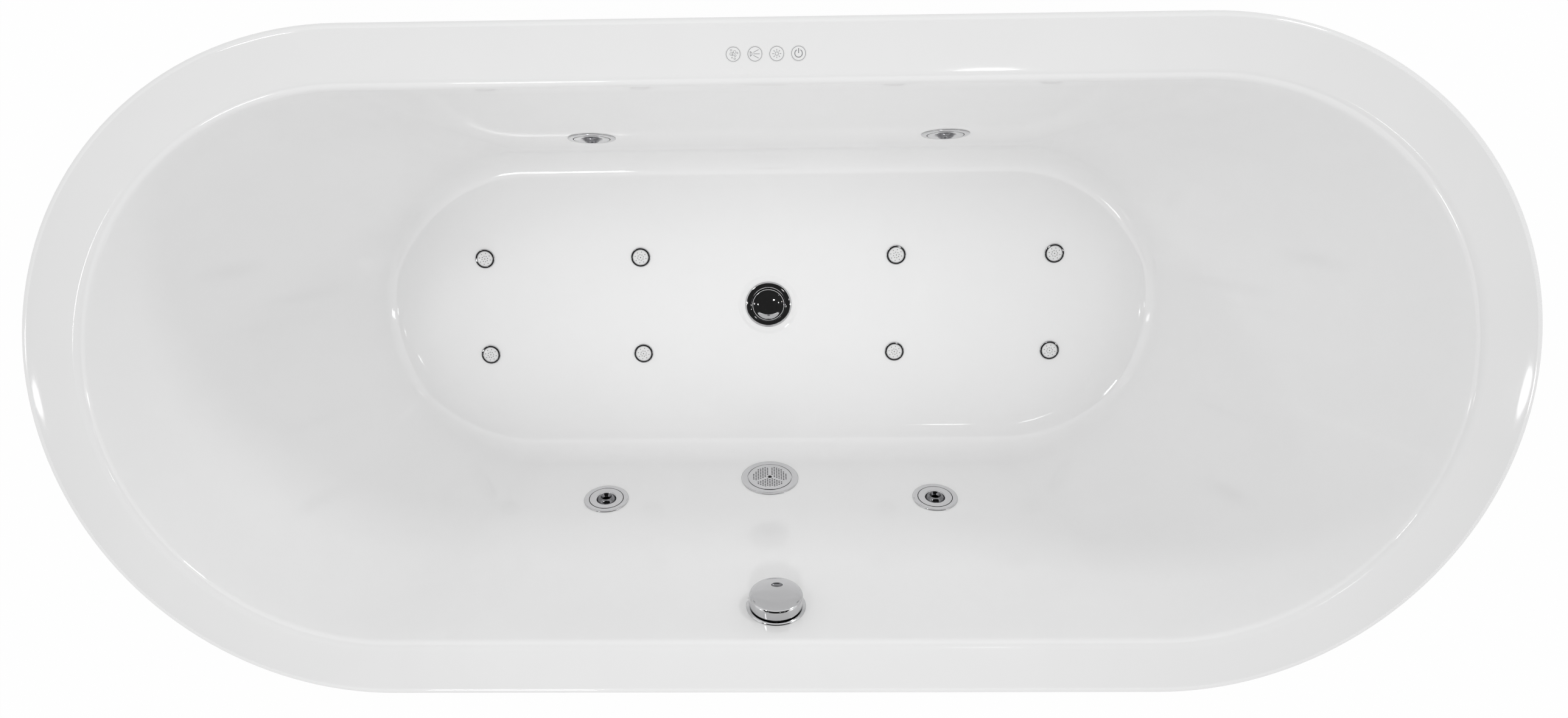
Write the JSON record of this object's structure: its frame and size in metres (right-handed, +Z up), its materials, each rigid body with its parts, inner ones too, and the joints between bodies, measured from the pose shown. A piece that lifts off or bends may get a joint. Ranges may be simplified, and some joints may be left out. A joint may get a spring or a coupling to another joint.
{
  "type": "jetted bathtub",
  "caption": "Double-ended oval drop-in jetted bathtub with wall jets, floor air injectors, rotary overflow knob, pop-up waste, touch keys, frame, pump and blower.",
  "frame": {"origin": "on the floor under the middle of the tub", "axes": "+X along the tub, away from the pump; -Y the side with the overflow knob; +Z up"},
  "size_m": [1.7998, 0.83, 0.6],
  "materials": {
    "tub_acrylic": "polished white acrylic",
    "moulded_white": "moulded white plastic",
    "pvc_grey": "extruded pipe plastic",
    "black_plastic": "moulded black plastic",
    "chrome": "mirror-bright plating",
    "satin_chrome": "softer, darker plating",
    "clear_face": "translucent moulded face",
    "rubber": "black rubber",
    "frame_steel": "light grey coated steel",
    "zinc_steel": "zinc-plated steel",
    "batten_wood": "sawn softwood",
    "board_wood": "sealed chipboard",
    "motor_paint": "dark coated casting",
    "shaft_steel": "ground steel",
    "touch_cap": "gloss cap with a printed sign"
  },
  "bodies": {
    "tub": {"air_intakes": "black_plastic", "base_board": "board_wood", "blower_feet": "rubber", "blower_hose": "pvc_grey", "blower_housing": "moulded_white", "control_box": "moulded_white", "equipment_shelves": "frame_steel", "fitting_gaskets": "rubber", "floor_air_manifold": "pvc_grey", "foot_nuts": "zinc_steel", "foot_pads": "rubber", "foot_studs": "zinc_steel", "frame_cross_members": "frame_steel", "frame_posts": "frame_steel", "frame_rails": "frame_steel", "injector_bodies": "moulded_white", "injector_faces": "clear_face", "injector_lamps": "black_plastic", "injector_rings": "chrome", "jet_air_lines": "pvc_grey", "jet_bodies": "moulded_white", "jet_wall_fittings": "chrome", "overflow_base_ring": "chrome", "overflow_body": "moulded_white", "overflow_pipe": "moulded_white", "pump_fan_cowl": "motor_paint", "pump_motor": "motor_paint", "pump_terminal_box": "black_plastic", "pump_volute": "black_plastic", "rim_battens": "batten_wood", "suction_body": "moulded_white", "suction_cover": "satin_chrome", "suction_fitting": "chrome", "suction_pipe": "pvc_grey", "suction_screw": "chrome", "touch_pads": "touch_cap", "touch_sensor_box": "black_plastic", "trap": "moulded_white", "tub_shell": "tub_acrylic", "waste_body": "moulded_white", "waste_flange": "chrome", "water_main": "pvc_grey"},
    "rotating_knob": {"overflow_knob": "chrome", "knob_spindle": "moulded_white"},
    "plug": {"waste_plug": "chrome", "plug_seal": "rubber", "plug_stem": "shaft_steel"},
    "pump_rotor": {"pump_impeller": "moulded_white", "pump_shaft": "shaft_steel", "pump_fan": "black_plastic"},
    "blower_rotor": {"blower_fan": "black_plastic"},
    "jet_1_ring": {"jet_ring_1": "chrome"},
    "jet_1_eyeball": {"jet_nozzle_1": "satin_chrome"},
    "jet_2_ring": {"jet_ring_2": "chrome"},
    "jet_2_eyeball": {"jet_nozzle_2": "satin_chrome"},
    "jet_3_ring": {"jet_ring_3": "chrome"},
    "jet_3_eyeball": {"jet_nozzle_3": "satin_chrome"},
    "jet_4_ring": {"jet_ring_4": "chrome"},
    "jet_4_eyeball": {"jet_nozzle_4": "satin_chrome"}
  },
  "joints": [
    {"name": "knob_turn", "type": "hinge", "parent": "tub", "child": "rotating_knob", "pos_m": [0.005, -0.32478, 0.532], "axis": [0, 0.9659, 0.2588], "range_deg": [0, 90]},
    {"name": "plug_lift", "type": "slide", "parent": "tub", "child": "plug", "axis": [0, 0, 1], "range_m": [0, 0.01]},
    {"name": "pump_spin", "type": "hinge", "parent": "tub", "child": "pump_rotor", "pos_m": [-0.77706, 0, 0.092], "axis": [0, 1, 0], "continuous": true},
    {"name": "blower_spin", "type": "hinge", "parent": "tub", "child": "blower_rotor", "pos_m": [0.775, 0, 0], "axis": [0, 0, 1], "continuous": true},
    {"name": "jet_1_flow_turn", "type": "hinge", "parent": "tub", "child": "jet_1_ring", "pos_m": [-0.242, -0.26342, 0.303], "axis": [0, 0.9659, 0.2588], "range_deg": [0, 90]},
    {"name": "jet_1_aim", "type": "hinge", "parent": "jet_1_ring", "child": "jet_1_eyeball", "pos_m": [-0.242, -0.26931, 0.30142], "axis": [1, 0, 0], "range_deg": [-15, 15]},
    {"name": "jet_2_flow_turn", "type": "hinge", "parent": "tub", "child": "jet_2_ring", "pos_m": [0.242, -0.26342, 0.303], "axis": [0, 0.9659, 0.2588], "range_deg": [0, 90]},
    {"name": "jet_2_aim", "type": "hinge", "parent": "jet_2_ring", "child": "jet_2_eyeball", "pos_m": [0.242, -0.26931, 0.30142], "axis": [1, 0, 0], "range_deg": [-15, 15]},
    {"name": "jet_3_flow_turn", "type": "hinge", "parent": "tub", "child": "jet_3_ring", "pos_m": [-0.242, 0.26342, 0.303], "axis": [0, -0.9659, 0.2588], "range_deg": [0, 90]},
    {"name": "jet_3_aim", "type": "hinge", "parent": "jet_3_ring", "child": "jet_3_eyeball", "pos_m": [-0.242, 0.26931, 0.30142], "axis": [1, 0, 0], "range_deg": [-15, 15]},
    {"name": "jet_4_flow_turn", "type": "hinge", "parent": "tub", "child": "jet_4_ring", "pos_m": [0.242, 0.26342, 0.303], "axis": [0, -0.9659, 0.2588], "range_deg": [0, 90]},
    {"name": "jet_4_aim", "type": "hinge", "parent": "jet_4_ring", "child": "jet_4_eyeball", "pos_m": [0.242, 0.26931, 0.30142], "axis": [1, 0, 0], "range_deg": [-15, 15]}
  ],
  "couplings": [
    {"joint": "plug_lift", "follows": "knob_turn", "m_per_rad": 0.0063662}
  ]
}
